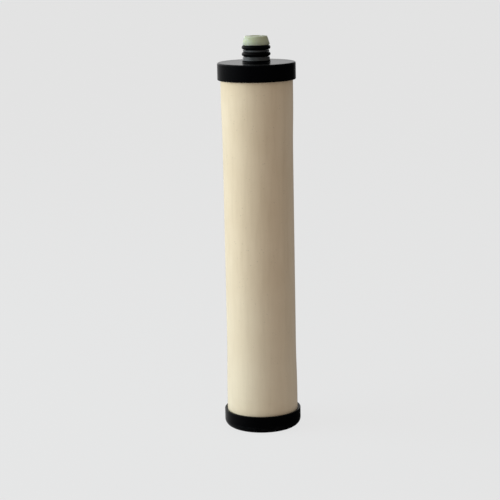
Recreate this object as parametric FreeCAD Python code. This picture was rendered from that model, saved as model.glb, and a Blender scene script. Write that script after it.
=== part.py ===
"""Replaceable ceramic filter cartridge of a hand-pump water filter.

Dirty water surrounds the ceramic tube and is pushed through its wall, the fleece and the carbon core into
the slotted collecting tube. It then lifts the spring-loaded check valve in the spigot and leaves through
the nose. The cartridge stands on its bottom cap. Z is its axis and z = 0 is the face it stands on.
All sizes are in millimetres.
"""

import FreeCAD, Part
import math
import os

Vector = FreeCAD.Vector
shortest_edge = 1e-6  # two corners closer than this share one point

# ---------------------------------------------------------------- driving dimensions
# Overall
cap_diameter = 50.0
body_length = 239.0  # from the standing face to the top cap's shoulder

# End caps, moulded in black plastic
top_cap_height = 11.0
bottom_cap_height = 11.5
cap_wall = 1.5
cap_end_thickness = 3.0
top_edge_radius = 0.9
lip_edge_radius = 0.35
cup_corner_radius = 1.0
foot_corner_radius = 4.5
foot_ring_width = 4.5
foot_recess_depth = 0.8
locating_lip_wall = 1.5
bottom_lip_height = 4.0
top_lip_height = 8.0
socket_wall = 2.0

# Adhesive that pots the ceramic into the caps
glue_gap = 0.4
glue_bed = 1.0
glue_below_lip = 0.7

# Ceramic tube, scrubbed thinner along its middle
ceramic_wall = 8.7
ceramic_waist = 0.5
ceramic_straight_end = 16.0
ceramic_flare_length = 38.0
ceramic_edge_radius = 0.5

# Carbon core, its fleeces and its end gaskets
water_gap = 0.5
outer_fleece_thickness = 0.5
inner_fleece_thickness = 0.3
gasket_thickness = 2.5

# Collecting tube, its end plug and the screen above it
tube_diameter = 12.0
tube_wall = 1.5
slot_width = 2.0
slot_length = 9.0
slot_pitch = 15.0
slot_columns = 4
slot_end_margin = 12.0
plug_flange_thickness = 1.5
plug_stem_length = 6.0
screen_thickness = 0.4
screen_hole_radius = 0.35
screen_hole_pitch = 1.2
screen_hole_rings = 2

# Spigot on the top cap, with its two O-rings
o_ring_bore = 13.1
o_ring_section = 2.65
o_ring_proud = 0.2
groove_side_room = 0.275
groove_root_radius = 0.3
boss_height = 1.2
boss_fillet_radius = 0.5
neck_height = 2.3
land_step = 0.6
land_width = 1.0
spigot_wall = 1.25

# Pale outlet nose, pressed into the spigot
nose_step = 0.35
nose_base_height = 0.9
nose_height = 5.6
nose_top_diameter = 14.3
nose_edge_radius = 0.9
nose_stem_length = 4.0
nose_stem_wall = 1.05
outlet_ledge = 1.15  # in the nose, above the spring seat
outlet_countersink = 0.6

# Check valve
seat_height = 1.8  # above the cap's ceiling
seat_hole_length = 4.8
seat_overlap = 1.4
poppet_flow_gap = 0.65
poppet_disc_thickness = 1.2
poppet_wing_hold = 0.8  # how far the wings reach out under the seal
poppet_pin_radius = 1.2
poppet_wing_thickness = 0.9
poppet_wing_length = 4.0
poppet_wings = 3
poppet_lift = 2.0
seal_thickness = 0.8
spring_wire = 0.5
spring_coils = 5  # open ones, between one closed turn at each end
closed_pitch_ratio = 1.06  # of the wire
spring_arcs_per_turn = 4
spring_radial_room = 0.25
spring_seat_thickness = 0.9
spring_seat_rim_width = 0.7
spring_seat_arm_drop = 0.4  # of the arms below the rim's upper face
spring_seat_arms = 3
spring_seat_arm_width = 1.2
spring_seat_hub_radius = 1.5

# Fits
slip_clearance = 0.05  # radial, between pieces pushed or bonded together
guide_clearance = 0.2  # radial, between the poppet's wings and the seat hole
stop_clearance = 0.1  # left above the poppet's pin when the valve is fully open
spring_clearance = 0.05  # between each end of the spring and what it bears on

# ---------------------------------------------------------------- places that follow from them
cap_radius = cap_diameter / 2
cap_inner_radius = cap_radius - cap_wall
shoulder_z = body_length
top_inner_z = shoulder_z - cap_end_thickness
bottom_inner_z = cap_end_thickness
top_lip_z = shoulder_z - top_cap_height
bottom_lip_z = bottom_cap_height

ceramic_radius = cap_inner_radius - glue_gap
ceramic_bore_radius = ceramic_radius - ceramic_wall
ceramic_bottom_z = bottom_inner_z + glue_bed
ceramic_top_z = top_inner_z - glue_bed
waist_radius = ceramic_radius - ceramic_waist

locating_lip_radius = ceramic_bore_radius - slip_clearance
bottom_ledge_z = bottom_inner_z + bottom_lip_height
top_ledge_z = top_inner_z - top_lip_height

core_sleeve_radius = ceramic_bore_radius - water_gap
core_radius = core_sleeve_radius - outer_fleece_thickness
core_bottom_z = bottom_ledge_z + gasket_thickness
core_top_z = top_ledge_z - gasket_thickness

tube_radius = tube_diameter / 2
tube_bore_radius = tube_radius - tube_wall
core_bore_radius = tube_radius + inner_fleece_thickness
socket_radius = tube_radius + slip_clearance
socket_outer_radius = socket_radius + socket_wall
tube_bottom_z = bottom_ledge_z + plug_flange_thickness

o_ring_centre_radius = (o_ring_bore + o_ring_section) / 2
groove_bottom_radius = o_ring_bore / 2 - slip_clearance
boss_radius = o_ring_bore / 2 + o_ring_section - o_ring_proud
land_radius = boss_radius - land_step
groove_width = o_ring_section + 2 * groove_side_room
lower_groove_z = shoulder_z + boss_height + neck_height
upper_groove_z = lower_groove_z + groove_width + land_width
spigot_top_z = upper_groove_z + groove_width
spigot_bore_radius = groove_bottom_radius - spigot_wall

nose_base_radius = boss_radius - nose_step
nose_top_radius = nose_top_diameter / 2
nose_top_z = spigot_top_z + nose_height
nose_stem_radius = spigot_bore_radius - slip_clearance
nose_cup_radius = nose_stem_radius - nose_stem_wall
nose_stem_z = spigot_top_z - nose_stem_length
outlet_radius = nose_cup_radius - outlet_ledge

seat_z = top_inner_z + seat_height
seat_hole_bottom_z = seat_z - seat_hole_length
screen_z = seat_hole_bottom_z - screen_thickness
tube_top_z = screen_z
poppet_radius = spigot_bore_radius - poppet_flow_gap
seat_hole_radius = poppet_radius - seat_overlap
poppet_wing_radius = seat_hole_radius - guide_clearance
poppet_neck_radius = poppet_wing_radius - poppet_wing_hold
poppet_disc_z = seat_z + seal_thickness
spring_bottom_z = poppet_disc_z + poppet_disc_thickness
spring_seat_z = spigot_top_z - spring_seat_thickness
spring_radius = nose_cup_radius - spring_radial_room - spring_wire / 2
pin_top_z = spring_seat_z - poppet_lift - stop_clearance


# ---------------------------------------------------------------- helpers
def outline(*corners):
    """A closed wire in the XZ plane through (radius, z) corners, where a third number rounds that corner."""
    places = [Vector(corner[0], 0, corner[1]) for corner in corners]
    runs = []
    for i, corner in enumerate(corners):
        here = places[i]
        if len(corner) == 2:
            runs.append((here, None, here))
            continue
        back = (places[i - 1] - here).normalize()
        ahead = (places[(i + 1) % len(places)] - here).normalize()
        half = back.getAngle(ahead) / 2
        reach = corner[2] / math.tan(half)
        middle = here + (back + ahead).normalize() * (corner[2] / math.sin(half) - corner[2])
        runs.append((here + back * reach, middle, here + ahead * reach))
    edges = []
    for i, (start, middle, end) in enumerate(runs):
        if middle is not None:
            edges.append(Part.Arc(start, middle, end).toShape())
        following = runs[(i + 1) % len(runs)][0]
        if end.distanceToPoint(following) > shortest_edge:
            edges.append(Part.LineSegment(end, following).toShape())
    return Part.Wire(edges)


def turned(*corners):
    """The solid that an outline sweeps about the Z axis."""
    return Part.Face(outline(*corners)).revolve(Vector(0, 0, 0), Vector(0, 0, 1), 360)


def ring(outer_radius, inner_radius, low_z, high_z):
    """A plain sleeve or washer on the Z axis."""
    return turned(
        (inner_radius, low_z),
        (outer_radius, low_z),
        (outer_radius, high_z),
        (inner_radius, high_z),
    )


def rod(radius, low_z, high_z):
    """A plain cylinder on the Z axis."""
    return Part.makeCylinder(radius, high_z - low_z, Vector(0, 0, low_z))


def around(shape, count, start_angle=0.0):
    """Copies of a shape, evenly spaced about the Z axis."""
    copies = []
    for i in range(count):
        copies.append(shape.rotated(Vector(0, 0, 0), Vector(0, 0, 1), start_angle + 360.0 * i / count))
    return copies


def star(arm_count, reach, arm_width, low_z, high_z):
    """Flat arms that run out from the Z axis to a round envelope."""
    arm = Part.makeBox(reach, arm_width, high_z - low_z, Vector(0, -arm_width / 2, low_z))
    arms = around(arm, arm_count)
    return arms[0].multiFuse(arms[1:]).common(rod(reach, low_z, high_z))


# ---------------------------------------------------------------- end caps and adhesive
def make_bottom_cap():
    """Cup with a rounded foot, a lip that centres the ceramic and a solid boss under the core."""
    foot_outer = cap_radius - foot_corner_radius
    foot_inner = foot_outer - foot_ring_width
    return turned(
        (0, foot_recess_depth),
        (foot_inner - foot_recess_depth, foot_recess_depth),
        (foot_inner, 0),
        (cap_radius, 0, foot_corner_radius),
        (cap_radius, bottom_lip_z, lip_edge_radius),
        (cap_inner_radius, bottom_lip_z, lip_edge_radius),
        (cap_inner_radius, bottom_inner_z, cup_corner_radius),
        (locating_lip_radius, bottom_inner_z),
        (locating_lip_radius, bottom_ledge_z),
        (locating_lip_radius - locating_lip_wall, bottom_ledge_z),
        (locating_lip_radius - locating_lip_wall, bottom_inner_z),
        (socket_outer_radius, bottom_inner_z),
        (socket_outer_radius, bottom_ledge_z),
        (0, bottom_ledge_z),
    )


def make_top_cap():
    """Cap with the same lip, the collecting tube's socket, the valve's seat and chamber, and the spigot."""
    return turned(
        (seat_hole_radius, seat_hole_bottom_z),
        (socket_radius, seat_hole_bottom_z),
        (socket_radius, top_ledge_z),
        (socket_outer_radius, top_ledge_z),
        (socket_outer_radius, top_inner_z),
        (locating_lip_radius - locating_lip_wall, top_inner_z),
        (locating_lip_radius - locating_lip_wall, top_ledge_z),
        (locating_lip_radius, top_ledge_z),
        (locating_lip_radius, top_inner_z),
        (cap_inner_radius, top_inner_z, cup_corner_radius),
        (cap_inner_radius, top_lip_z, lip_edge_radius),
        (cap_radius, top_lip_z, lip_edge_radius),
        (cap_radius, shoulder_z, top_edge_radius),
        (boss_radius, shoulder_z, boss_fillet_radius),
        (boss_radius, shoulder_z + boss_height),
        (land_radius, lower_groove_z),
        (groove_bottom_radius, lower_groove_z, groove_root_radius),
        (groove_bottom_radius, lower_groove_z + groove_width, groove_root_radius),
        (land_radius, lower_groove_z + groove_width),
        (land_radius, upper_groove_z),
        (groove_bottom_radius, upper_groove_z, groove_root_radius),
        (groove_bottom_radius, spigot_top_z),
        (spigot_bore_radius, spigot_top_z),
        (spigot_bore_radius, seat_z),
        (seat_hole_radius, seat_z),
    )


def make_potting(inner_z, ceramic_end_z, lip_z, inward):
    """Adhesive under one end of the ceramic and up its side, stopping short of the cap's lip."""
    surface_z = lip_z - inward * glue_below_lip
    return turned(
        (locating_lip_radius, inner_z),
        (cap_inner_radius, inner_z, cup_corner_radius),
        (cap_inner_radius, surface_z),
        (ceramic_radius, surface_z),
        (ceramic_radius, ceramic_end_z, ceramic_edge_radius),
        (locating_lip_radius, ceramic_end_z),
    )


# ---------------------------------------------------------------- filter stages
def make_ceramic_tube():
    """Porous ceramic tube, straight inside its caps and waisted between them by two blends of equal arcs."""
    quarter = ceramic_flare_length / 4
    turn = math.atan2(ceramic_waist, 2 * quarter)
    flare_radius = quarter / math.tan(turn / 2)
    low_z = ceramic_bottom_z + ceramic_straight_end
    high_z = ceramic_top_z - ceramic_straight_end
    return turned(
        (ceramic_bore_radius, ceramic_bottom_z),
        (ceramic_radius, ceramic_bottom_z, ceramic_edge_radius),
        (ceramic_radius, low_z + quarter, flare_radius),
        (waist_radius, low_z + 3 * quarter, flare_radius),
        (waist_radius, high_z - 3 * quarter, flare_radius),
        (ceramic_radius, high_z - quarter, flare_radius),
        (ceramic_radius, ceramic_top_z, ceramic_edge_radius),
        (ceramic_bore_radius, ceramic_top_z),
    )


def make_collecting_tube():
    """Tube with staggered rows of round-ended slots along the carbon core."""
    tube = ring(tube_radius, tube_bore_radius, tube_bottom_z, tube_top_z)
    half_width = slot_width / 2
    straight = slot_length - slot_width
    slot = Part.makeBox(tube_diameter, slot_width, straight, Vector(0, -half_width, -straight / 2))
    slot_ends = []
    for end_z in (-straight / 2, straight / 2):
        slot_ends.append(Part.makeCylinder(half_width, tube_diameter, Vector(0, 0, end_z), Vector(1, 0, 0)))
    slot = slot.multiFuse(slot_ends)
    low_z = core_bottom_z + slot_end_margin
    high_z = core_top_z - slot_end_margin
    rows = int((high_z - low_z - slot_length) / slot_pitch) + 1
    first_z = (low_z + high_z - (rows - 1) * slot_pitch) / 2
    cutters = []
    for row in range(rows):
        stagger = 180.0 / slot_columns * (row % 2)
        placed = slot.translated(Vector(0, 0, first_z + row * slot_pitch))
        cutters += around(placed, slot_columns, stagger)
    return tube.cut(cutters)


def make_tube_end_plug():
    """Plug that closes the collecting tube at the bottom and carries it on the cap's boss."""
    plug = rod(tube_radius, bottom_ledge_z, tube_bottom_z)
    return plug.fuse(rod(tube_bore_radius - slip_clearance, tube_bottom_z, tube_bottom_z + plug_stem_length))


def make_fines_screen():
    """Perforated disc above the collecting tube."""
    disc = rod(tube_radius, screen_z, seat_hole_bottom_z)
    holes = [rod(screen_hole_radius, screen_z, seat_hole_bottom_z)]
    for k in range(1, screen_hole_rings + 1):
        hole = holes[0].translated(Vector(k * screen_hole_pitch, 0, 0))
        holes += around(hole, 6 * k)
    return disc.cut(holes)


# ---------------------------------------------------------------- check valve and outlet
def make_poppet():
    """Valve disc with a neck and guide wings below it and the spring's guide pin above it."""
    disc = rod(poppet_radius, poppet_disc_z, spring_bottom_z)
    neck = rod(poppet_neck_radius, seat_z, poppet_disc_z)
    pin = rod(poppet_pin_radius, spring_bottom_z, pin_top_z)
    wings = star(poppet_wings, poppet_wing_radius, poppet_wing_thickness, seat_z - poppet_wing_length, seat_z)
    return disc.multiFuse([neck, pin, wings]).removeSplitter()


def spring_point(turns):
    """Place of the wire's centre after that many turns: one closed turn, the open coils, one closed turn."""
    closed_pitch = spring_wire * closed_pitch_ratio
    first_z = spring_bottom_z + spring_clearance + spring_wire / 2
    last_z = spring_seat_z - spring_clearance - spring_wire / 2
    open_pitch = (last_z - first_z - 2 * closed_pitch) / spring_coils
    closed_turns = min(turns, 1.0) + max(turns - 1.0 - spring_coils, 0.0)
    open_turns = turns - closed_turns
    angle = 2 * math.pi * turns
    z = first_z + closed_turns * closed_pitch + open_turns * open_pitch
    return Vector(spring_radius * math.cos(angle), spring_radius * math.sin(angle), z)


def make_spring():
    """Compression spring whose wire follows short arcs along its helix."""
    arc_count = (spring_coils + 2) * spring_arcs_per_turn
    edges = []
    for i in range(arc_count):
        stations = [(i + share) / spring_arcs_per_turn for share in (0.0, 0.5, 1.0)]
        edges.append(Part.Arc(*[spring_point(turns) for turns in stations]).toShape())
    section = Part.Wire(Part.makeCircle(spring_wire / 2, spring_point(0.0), Vector(0, 1, 0)))
    return Part.Wire(edges).makePipeShell([section], True, True)


def make_spring_seat():
    """Spider that carries the spring's upper end and stops the poppet's pin, with water passing its arms."""
    rim_outer = nose_cup_radius - slip_clearance
    rim_inner = rim_outer - spring_seat_rim_width
    arm_top_z = spigot_top_z - spring_seat_arm_drop
    rim = ring(rim_outer, rim_inner, spring_seat_z, spigot_top_z)
    hub = rod(spring_seat_hub_radius, spring_seat_z, arm_top_z)
    reach = (rim_outer + rim_inner) / 2
    arms = star(spring_seat_arms, reach, spring_seat_arm_width, spring_seat_z, arm_top_z)
    return rim.multiFuse([hub, arms]).removeSplitter()


def make_nose():
    """Tapered outlet nose whose underside closes the upper groove and whose stem lines the chamber."""
    return turned(
        (outlet_radius, spigot_top_z),
        (nose_cup_radius, spigot_top_z),
        (nose_cup_radius, nose_stem_z),
        (nose_stem_radius, nose_stem_z),
        (nose_stem_radius, spigot_top_z),
        (nose_base_radius, spigot_top_z, lip_edge_radius),
        (nose_base_radius, spigot_top_z + nose_base_height),
        (nose_top_radius, nose_top_z, nose_edge_radius),
        (outlet_radius + outlet_countersink, nose_top_z),
        (outlet_radius, nose_top_z - outlet_countersink),
    )


def make_o_ring(groove_z):
    """O-ring in the middle of the groove that starts at groove_z."""
    centre = Vector(0, 0, groove_z + groove_width / 2)
    return Part.makeTorus(o_ring_centre_radius, o_ring_section / 2, centre)


# ---------------------------------------------------------------- the pieces
pieces = {
    "bottom_cap": make_bottom_cap(),
    "bottom_potting_ring": make_potting(bottom_inner_z, ceramic_bottom_z, bottom_lip_z, 1),
    "ceramic_tube": make_ceramic_tube(),
    "outer_fleece": ring(core_sleeve_radius, core_radius, core_bottom_z, core_top_z),
    "carbon_core": ring(core_radius, core_bore_radius, core_bottom_z, core_top_z),
    "inner_fleece": ring(core_bore_radius, tube_radius + slip_clearance, core_bottom_z, core_top_z),
    "lower_core_gasket": ring(core_sleeve_radius, socket_radius, bottom_ledge_z, core_bottom_z),
    "upper_core_gasket": ring(core_sleeve_radius, socket_radius, core_top_z, top_ledge_z),
    "collecting_tube": make_collecting_tube(),
    "tube_end_plug": make_tube_end_plug(),
    "fines_screen": make_fines_screen(),
    "top_potting_ring": make_potting(top_inner_z, ceramic_top_z, top_lip_z, -1),
    "top_cap": make_top_cap(),
    "lower_o_ring": make_o_ring(lower_groove_z),
    "upper_o_ring": make_o_ring(upper_groove_z),
    "valve_poppet": make_poppet(),
    "valve_seal": ring(poppet_radius, poppet_neck_radius + slip_clearance, seat_z, poppet_disc_z),
    "valve_spring": make_spring(),
    "spring_seat": make_spring_seat(),
    "outlet_nose": make_nose(),
}

os.makedirs("parts", exist_ok=True)
for name, shape in pieces.items():
    shape.exportStep("parts/" + name + ".step")
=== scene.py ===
"""Looks of a ceramic filter cartridge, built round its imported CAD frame.

The cartridge stands on its bottom cap, with Z up its axis. Lengths are in metres.
"""

import logging
import math
from dataclasses import dataclass, field
from enum import Enum
from typing import Callable, Sequence

import bpy
import numpy as np
from mathutils import Matrix, Vector


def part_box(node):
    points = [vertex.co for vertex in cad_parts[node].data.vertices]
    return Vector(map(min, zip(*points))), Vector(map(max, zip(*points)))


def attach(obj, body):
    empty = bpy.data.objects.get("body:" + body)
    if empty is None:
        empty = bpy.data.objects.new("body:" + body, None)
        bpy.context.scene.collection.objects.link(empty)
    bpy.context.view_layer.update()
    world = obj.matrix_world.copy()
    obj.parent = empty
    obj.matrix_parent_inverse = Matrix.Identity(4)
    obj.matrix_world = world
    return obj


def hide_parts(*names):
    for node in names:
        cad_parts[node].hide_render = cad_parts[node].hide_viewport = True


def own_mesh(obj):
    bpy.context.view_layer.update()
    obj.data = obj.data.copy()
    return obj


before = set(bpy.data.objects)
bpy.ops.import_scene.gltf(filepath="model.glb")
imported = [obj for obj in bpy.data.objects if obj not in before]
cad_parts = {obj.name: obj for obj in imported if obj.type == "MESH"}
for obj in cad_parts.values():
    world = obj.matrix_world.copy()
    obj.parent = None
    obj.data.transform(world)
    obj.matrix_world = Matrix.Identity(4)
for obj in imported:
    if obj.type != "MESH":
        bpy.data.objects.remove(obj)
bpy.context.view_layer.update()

LOG = logging.getLogger("cartridge")
MM = 0.001
SUPPORT = 0.12 * MM
SAME_PLACE = 1e-7
Array = np.ndarray
Piece = bpy.types.Object
Material = bpy.types.Material
Tree = bpy.types.NodeTree
Node = bpy.types.Node
Socket = bpy.types.NodeSocket
Colour = tuple[float, float, float]
Shift = tuple[Array, Array]
Displacement = Callable[[Array, Array, Array], Shift]


class Body(Enum):
    """The two rigid bodies of the cartridge."""

    CARTRIDGE = "cartridge"
    VALVE = "outlet_valve"


class Slot(Enum):
    """Material slots that the record names."""

    BLACK_PLASTIC = "black_plastic"
    POTTING = "potting_resin"
    CERAMIC = "filter_ceramic"
    FLEECE = "white_fleece"
    CARBON = "pressed_carbon"
    GREY_RUBBER = "grey_rubber"
    WHITE_PLASTIC = "white_plastic"
    STEEL_SHEET = "stainless_sheet"
    O_RING = "o_ring_rubber"
    ACETAL = "acetal"
    SILICONE = "red_silicone"
    SPRING = "spring_steel"
    NATURAL_PLASTIC = "natural_plastic"


# ---------------------------------------------------------------- profiles and surfaces
@dataclass
class Profile:
    """Half section of a turned piece, walked with its material on the left.

    Attributes:
        radius: Distance of each point from the axis.
        height: Height of each point.
        edge: 1 on rounded convex corners, 0 elsewhere.
        crease: 1 on rounded concave corners, 0 elsewhere.
        closed: True if the last point joins the first.
    """

    radius: Array
    height: Array
    edge: Array
    crease: Array
    closed: bool = True


def rounded_profile(
    corners: Sequence[tuple[float, ...]], closed: bool = True, step: float = 1.5 * MM, arc_steps: int = 7
) -> Profile:
    """Profile through corners, each rounded by an arc tangent to both of its sides.

    A corner of half angle h and radius q starts its arc q / tan(h) away from the corner, and the arc's
    centre lies q / sin(h) away along the bisector. Straight runs get points close to both ends and every step
    between.

    Args:
        corners: (radius, height) or (radius, height, rounding) of each corner.
        closed: True if the last corner joins the first.
        step: Longest distance between points on a straight run.
        arc_steps: Points on each rounded corner, less one.

    Returns:
        The sampled profile.
    """
    places = [np.array(corner[:2], dtype=float) for corner in corners]
    count = len(places)
    arcs: list[Array] = []
    turns: list[float] = []
    for i, corner in enumerate(corners):
        here = places[i]
        inner = closed or 0 < i < count - 1
        rounding = corner[2] if len(corner) > 2 and inner else 0.0
        if not rounding:
            arcs.append(here[None, :])
            turns.append(0.0)
            continue
        back = places[i - 1] - here
        ahead = places[(i + 1) % count] - here
        back /= np.linalg.norm(back)
        ahead /= np.linalg.norm(ahead)
        half = math.acos(float(np.clip(back @ ahead, -1.0, 1.0))) / 2
        bisector = (back + ahead) / np.linalg.norm(back + ahead)
        centre = here + bisector * rounding / math.sin(half)
        spoke = here + back * rounding / math.tan(half) - centre
        side = -back[0] * ahead[1] + back[1] * ahead[0]
        sweep = np.linspace(0.0, math.copysign(math.pi - 2 * half, side), arc_steps + 1)
        cos, sin = np.cos(sweep), np.sin(sweep)
        turned = np.stack([spoke[0] * cos - spoke[1] * sin, spoke[0] * sin + spoke[1] * cos], axis=1)
        arcs.append(centre + turned)
        turns.append(math.copysign(1.0, side))
    points: list[Array] = []
    marks: list[Array] = []
    for i in range(count):
        points.append(arcs[i])
        marks.append(np.full(len(arcs[i]), turns[i]))
        if i == count - 1 and not closed:
            break
        start, end = arcs[i][-1], arcs[(i + 1) % count][0]
        length = float(np.linalg.norm(end - start))
        if length < SAME_PLACE:
            continue
        support = min(SUPPORT, length / 4)
        pieces = max(1, math.ceil((length - 2 * support) / step))
        shares = np.linspace(support, length - support, pieces + 1)[:, None] / length
        points.append(start + (end - start) * shares)
        marks.append(np.zeros(pieces + 1))
    walked = np.concatenate(points)
    mark = np.concatenate(marks)
    return Profile(walked[:, 0], walked[:, 1], np.maximum(mark, 0.0), np.maximum(-mark, 0.0), closed)


def grid_faces(rows: int, columns: int, wrap_rows: bool) -> Array:
    """Quads of a grid whose columns wrap round, and whose rows do too if asked.

    Args:
        rows: Points along the profile.
        columns: Points round the axis.
        wrap_rows: True to join the last row to the first.

    Returns:
        One row of four vertex numbers for each face.
    """
    row = np.arange(rows if wrap_rows else rows - 1)[:, None]
    column = np.arange(columns)[None, :]
    here, following = row * columns, (row + 1) % rows * columns
    beside = (column + 1) % columns
    corners = [here + column, here + beside, following + beside, following + column]
    return np.stack(corners, axis=2).reshape(-1, 4)


def capped_faces(rows: int, columns: int) -> list[list[int]]:
    """Faces of an open grid with a fan at each end, to the two pole vertices that follow the grid.

    Args:
        rows: Points along the profile.
        columns: Points round the axis.

    Returns:
        Vertex numbers of each face.
    """
    column = np.arange(columns)
    beside = (column + 1) % columns
    last = (rows - 1) * columns
    start_fan = np.stack([np.full(columns, rows * columns), beside, column], axis=1)
    end_fan = np.stack([np.full(columns, rows * columns + 1), last + column, last + beside], axis=1)
    return grid_faces(rows, columns, False).tolist() + start_fan.tolist() + end_fan.tolist()


def mesh_object(name: str, vertices: Array, faces: list[list[int]] | Array) -> Piece:
    """Smooth-shaded object at the origin from arrays of vertices and faces.

    Args:
        name: The object's name.
        vertices: One row of x, y and z for each vertex.
        faces: Vertex numbers of each face.

    Returns:
        The object.
    """
    mesh = bpy.data.meshes.new(name)
    rows = faces.tolist() if isinstance(faces, Array) else faces
    mesh.from_pydata(vertices.tolist(), [], rows)
    mesh.polygons.foreach_set("use_smooth", np.ones(len(mesh.polygons), dtype=bool))
    mesh.update()
    made = bpy.data.objects.new(name, mesh)
    bpy.context.scene.collection.objects.link(made)
    return made


def set_attribute(piece: Piece, name: str, values: Array) -> None:
    """Stores one number for each vertex of a piece, for its material to read."""
    layer = piece.data.attributes.new(name, "FLOAT", "POINT")
    layer.data.foreach_set("value", np.ascontiguousarray(values, dtype=np.float32))


def turned_piece(name: str, profile: Profile, columns: int, shift: Displacement | None = None) -> Piece:
    """Surface of revolution, closed along its profile or by a pole at each end of it.

    A point at profile place (r, z) and angle a lies at (r cos a, r sin a, z). The shift function adds small
    irregularities to r and z before that.

    Args:
        name: The piece's name.
        profile: Its half section.
        columns: Points round the axis.
        shift: Function of (radius, height, angle) grids that gives what to add to radius and height.

    Returns:
        The piece, with its edge and crease attributes.
    """
    angle = np.linspace(0.0, 2 * math.pi, columns, endpoint=False)[None, :]
    radius = profile.radius[:, None] + 0 * angle
    height = profile.height[:, None] + 0 * angle
    if shift is not None:
        more_radius, more_height = shift(radius, height, angle + 0 * radius)
        radius, height = radius + more_radius, height + more_height
    grid = np.stack([radius * np.cos(angle), radius * np.sin(angle), height], axis=2)
    edge = np.repeat(profile.edge, columns)
    crease = np.repeat(profile.crease, columns)
    if profile.closed:
        piece = mesh_object(name, grid.reshape(-1, 3), grid_faces(len(profile.radius), columns, True))
    else:
        rows = len(profile.radius) - 2
        vertices = np.concatenate([grid[1:-1].reshape(-1, 3), grid[0, :1], grid[-1, :1]])
        piece = mesh_object(name, vertices, capped_faces(rows, columns))
        edge = np.concatenate([edge[columns:-columns], [0.0, 0.0]])
        crease = np.concatenate([crease[columns:-columns], [0.0, 0.0]])
    set_attribute(piece, "edge", edge)
    set_attribute(piece, "crease", crease)
    return piece


def wire_piece(name: str, centre: Array, wire_radius: float, sides: int = 12) -> Piece:
    """Round wire along a path, closed by a pole at each end.

    Each ring lies across the path's tangent t. Its first axis is the outward radial direction less its share
    along t, and its second axis is t crossed with the first.

    Args:
        name: The piece's name.
        centre: Points of the path, one row each.
        wire_radius: Radius of the wire.
        sides: Points round the wire.

    Returns:
        The wire.
    """
    tangent = np.gradient(centre, axis=0)
    tangent /= np.linalg.norm(tangent, axis=1, keepdims=True)
    outward = centre * np.array([1.0, 1.0, 0.0])
    outward -= tangent * np.sum(outward * tangent, axis=1, keepdims=True)
    outward /= np.linalg.norm(outward, axis=1, keepdims=True)
    across = np.cross(tangent, outward)
    turn = np.linspace(0.0, 2 * math.pi, sides, endpoint=False)[None, :, None]
    rings = centre[:, None] + wire_radius * (outward[:, None] * np.cos(turn) + across[:, None] * np.sin(turn))
    vertices = np.concatenate([rings.reshape(-1, 3), centre[:1], centre[-1:]])
    piece = mesh_object(name, vertices, capped_faces(len(centre), sides))
    set_attribute(piece, "edge", np.zeros(len(vertices)))
    set_attribute(piece, "crease", np.zeros(len(vertices)))
    return piece


# ---------------------------------------------------------------- shader building
@dataclass
class Nodes:
    """Short way to add and join the nodes of one tree."""

    tree: Tree

    def add(self, kind: str, inputs: dict | None = None, **settings: object) -> Node:
        """Adds a node.

        Args:
            kind: Its Blender type name.
            inputs: Value or source socket of each named or numbered input.
            settings: Attributes of the node itself.

        Returns:
            The node.
        """
        node = self.tree.nodes.new(kind)
        for key, value in settings.items():
            setattr(node, key, value)
        for key, value in (inputs or {}).items():
            if isinstance(value, Socket):
                self.tree.links.new(value, node.inputs[key])
            else:
                node.inputs[key].default_value = value
        return node

    def maths(self, operation: str, *values: object, clamp: bool = False) -> Socket:
        """Adds a maths node and returns its result."""
        inputs = dict(enumerate(values))
        return self.add("ShaderNodeMath", inputs, operation=operation, use_clamp=clamp).outputs[0]

    def times(self, first: object, second: object) -> Socket:
        """Multiplies two values."""
        return self.maths("MULTIPLY", first, second)

    def attribute(self, name: str) -> Socket:
        """Reads one of the mesh's own numbers."""
        return self.add("ShaderNodeAttribute", attribute_name=name).outputs["Fac"]

    def stretched(self, place: Socket, scale: Sequence[float]) -> Socket:
        """Adds a mapping that scales a place and returns its result."""
        return self.add("ShaderNodeMapping", {"Vector": place, "Scale": scale}).outputs[0]

    def noise(self, place: object, scale: object, detail: float = 3.0, roughness: float = 0.5) -> Socket:
        """Adds a noise texture and returns its value."""
        inputs = {"Vector": place, "Scale": scale, "Detail": detail, "Roughness": roughness}
        return self.add("ShaderNodeTexNoise", inputs).outputs["Fac"]

    def ramp(
        self, value: object, low: float, high: float, to_low: float = 0.0, to_high: float = 1.0
    ) -> Socket:
        """Adds a clamped linear remap of a value and returns its result."""
        inputs = {"Value": value, "From Min": low, "From Max": high, "To Min": to_low, "To Max": to_high}
        return self.add("ShaderNodeMapRange", inputs).outputs["Result"]

    def mix(self, share: object, first: object, second: object, blend: str = "MIX") -> Socket:
        """Adds a colour mix and returns its result.

        Args:
            share: Share of the second colour, from 0 to 1.
            first: A colour or a source socket.
            second: The same, for the second colour.
            blend: Blender's name of the kind of blend.

        Returns:
            The mixed colour.
        """
        node = self.add("ShaderNodeMix", data_type="RGBA", blend_type=blend, clamp_factor=True)
        for place, value in ((0, share), (6, first), (7, second)):
            if isinstance(value, Socket):
                self.tree.links.new(value, node.inputs[place])
            elif place == 0:
                node.inputs[place].default_value = value
            else:
                node.inputs[place].default_value = (*value, 1.0)
        return node.outputs[2]

    def group(self, tree: Tree, inputs: dict) -> Node:
        """Places a node group with its own values."""
        return self.add("ShaderNodeGroup", inputs, node_tree=tree)


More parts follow.
